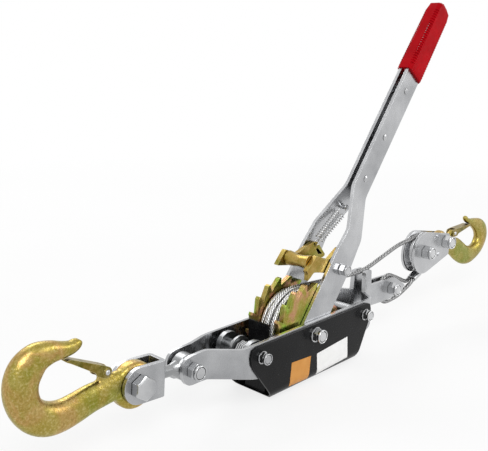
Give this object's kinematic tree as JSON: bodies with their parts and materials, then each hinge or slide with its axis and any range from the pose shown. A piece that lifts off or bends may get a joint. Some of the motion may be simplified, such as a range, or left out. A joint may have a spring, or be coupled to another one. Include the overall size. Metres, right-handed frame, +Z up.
{
  "type": "come along winch",
  "caption": "Hand cable puller with a ratchet drum, lever handle, swivelling front hook and a travelling pulley block with a second hook.",
  "frame": {"origin": "On the flat underside of the lower guard, straight below the drum axle, in the middle plane.", "axes": "+X from the front hook to the pulley block, +Y from the nut side of the drum axle to its head side, +Z up from the guard."},
  "size_m": [0.7265, 0.0769, 0.3774],
  "materials": {
    "zinc": "bright zinc plate, lightly brushed",
    "bright_zinc": "bright zinc fasteners",
    "black_paint": "gloss black powder coat",
    "yellow_zinc": "yellow zinc plate with a faint iridescence",
    "steel_rope": "galvanised wire rope",
    "spring_steel": "plated spring wire",
    "red_grip": "ribbed red vinyl"
  },
  "bodies": {
    "frame": {"side_plate_near": "zinc", "side_plate_far": "zinc", "lower_guard": "black_paint", "axle_bolt": "bright_zinc", "axle_nut": "bright_zinc", "pawl_shaft_bolt": "bright_zinc", "pawl_shaft_nut": "bright_zinc", "rear_frame_bolt": "bright_zinc", "nose_bolt": "bright_zinc", "anchor_bolt": "bright_zinc", "rear_spacer": "zinc", "thimble": "bright_zinc", "ferrule": "bright_zinc", "cable_eye": "steel_rope", "cable_upper_run": "steel_rope", "cable_lower_run": "steel_rope", "hold_pawl_spring": "spring_steel"},
    "drum": {"ratchet_near_1": "yellow_zinc", "ratchet_near_2": "yellow_zinc", "ratchet_near_3": "yellow_zinc", "ratchet_far_1": "yellow_zinc", "ratchet_far_2": "yellow_zinc", "ratchet_far_3": "yellow_zinc", "drum_core": "black_paint", "cable_winding": "steel_rope"},
    "hold_pawls": {"hold_pawl_near": "zinc", "hold_pawl_far": "zinc", "hold_pawl_sleeve": "zinc"},
    "handle": {"handle_bar_near": "zinc", "handle_bar_far": "zinc", "handle_rivet_1": "bright_zinc", "handle_rivet_2": "bright_zinc", "handle_rivet_3": "bright_zinc", "grip": "red_grip", "drive_pawl_bolt": "bright_zinc", "drive_spring_left": "spring_steel", "drive_spring_right": "spring_steel"},
    "drive_pawl": {"drive_pawl_near": "yellow_zinc", "drive_pawl_far": "yellow_zinc", "drive_pawl_yoke": "yellow_zinc"},
    "swivel": {"swivel_eye": "zinc"},
    "clevis": {"clevis": "zinc", "clevis_bolt": "bright_zinc", "clevis_nut": "bright_zinc"},
    "front_hook": {"front_hook": "yellow_zinc"},
    "front_latch": {"front_latch": "yellow_zinc"},
    "pulley_block": {"block_cheek_near": "zinc", "block_cheek_far": "zinc", "sheave_bolt": "bright_zinc", "rear_hook_bolt": "bright_zinc", "cable_on_sheave": "steel_rope"},
    "sheave": {"sheave": "zinc"},
    "rear_hook": {"rear_hook": "yellow_zinc"},
    "rear_latch": {"rear_latch": "yellow_zinc"}
  },
  "joints": [
    {"name": "drum_spin", "type": "hinge", "parent": "frame", "child": "drum", "pos_m": [0, 0, 0.0505], "axis": [0, 1, 0], "range_deg": [0, 60]},
    {"name": "hold_pawl_swing", "type": "hinge", "parent": "frame", "child": "hold_pawls", "pos_m": [-0.0775, 0, 0.0499], "axis": [0, -1, 0], "range_deg": [0, 7.2], "stiffness_Nm_per_rad": 0.6},
    {"name": "handle_swing", "type": "hinge", "parent": "frame", "child": "handle", "pos_m": [0, 0, 0.0505], "axis": [0, 1, 0], "range_deg": [-60, 20]},
    {"name": "drive_pawl_swing", "type": "hinge", "parent": "handle", "child": "drive_pawl", "pos_m": [0.04731, 0, 0.10618], "axis": [0, -1, 0], "range_deg": [-8, 11], "stiffness_Nm_per_rad": 2.5, "deforming": ["drive_spring_left", "drive_spring_right"]},
    {"name": "swivel_swing", "type": "hinge", "parent": "frame", "child": "swivel", "pos_m": [-0.147, 0, 0.054], "axis": [0, 1, 0], "range_deg": [-20, 20]},
    {"name": "clevis_turn", "type": "hinge", "parent": "swivel", "child": "clevis", "pos_m": [-0.17892, 0, 0.05623], "axis": [-0.9976, 0, 0.0698], "continuous": true},
    {"name": "front_hook_swing", "type": "hinge", "parent": "clevis", "child": "front_hook", "pos_m": [-0.20386, 0, 0.05798], "axis": [0, 1, 0], "range_deg": [-55, 55]},
    {"name": "front_latch_swing", "type": "hinge", "parent": "front_hook", "child": "front_latch", "pos_m": [-0.23147, 0, 0.07696], "axis": [0, -1, 0], "range_deg": [0, 22], "stiffness_Nm_per_rad": 0.15},
    {"name": "block_travel", "type": "slide", "parent": "frame", "child": "pulley_block", "axis": [1, 0, 0], "range_m": [0, 0.0219], "deforming": ["cable_upper_run", "cable_lower_run"]},
    {"name": "sheave_spin", "type": "hinge", "parent": "pulley_block", "child": "sheave", "pos_m": [0.236, 0, 0.085], "axis": [0, 1, 0], "range_deg": [-1, 63.6]},
    {"name": "rear_hook_swing", "type": "hinge", "parent": "pulley_block", "child": "rear_hook", "pos_m": [0.2833, 0, 0.0895], "axis": [0, 1, 0], "range_deg": [-45, 45]},
    {"name": "rear_latch_swing", "type": "hinge", "parent": "rear_hook", "child": "rear_latch", "pos_m": [0.3151, 0, 0.09403], "axis": [0, 1, 0], "range_deg": [0, 22], "stiffness_Nm_per_rad": 0.15}
  ],
  "couplings": [
    {"joint": "block_travel", "follows": "drum_spin", "m_per_rad": 0.02085},
    {"joint": "sheave_spin", "follows": "drum_spin", "ratio": 1.0425}
  ]
}
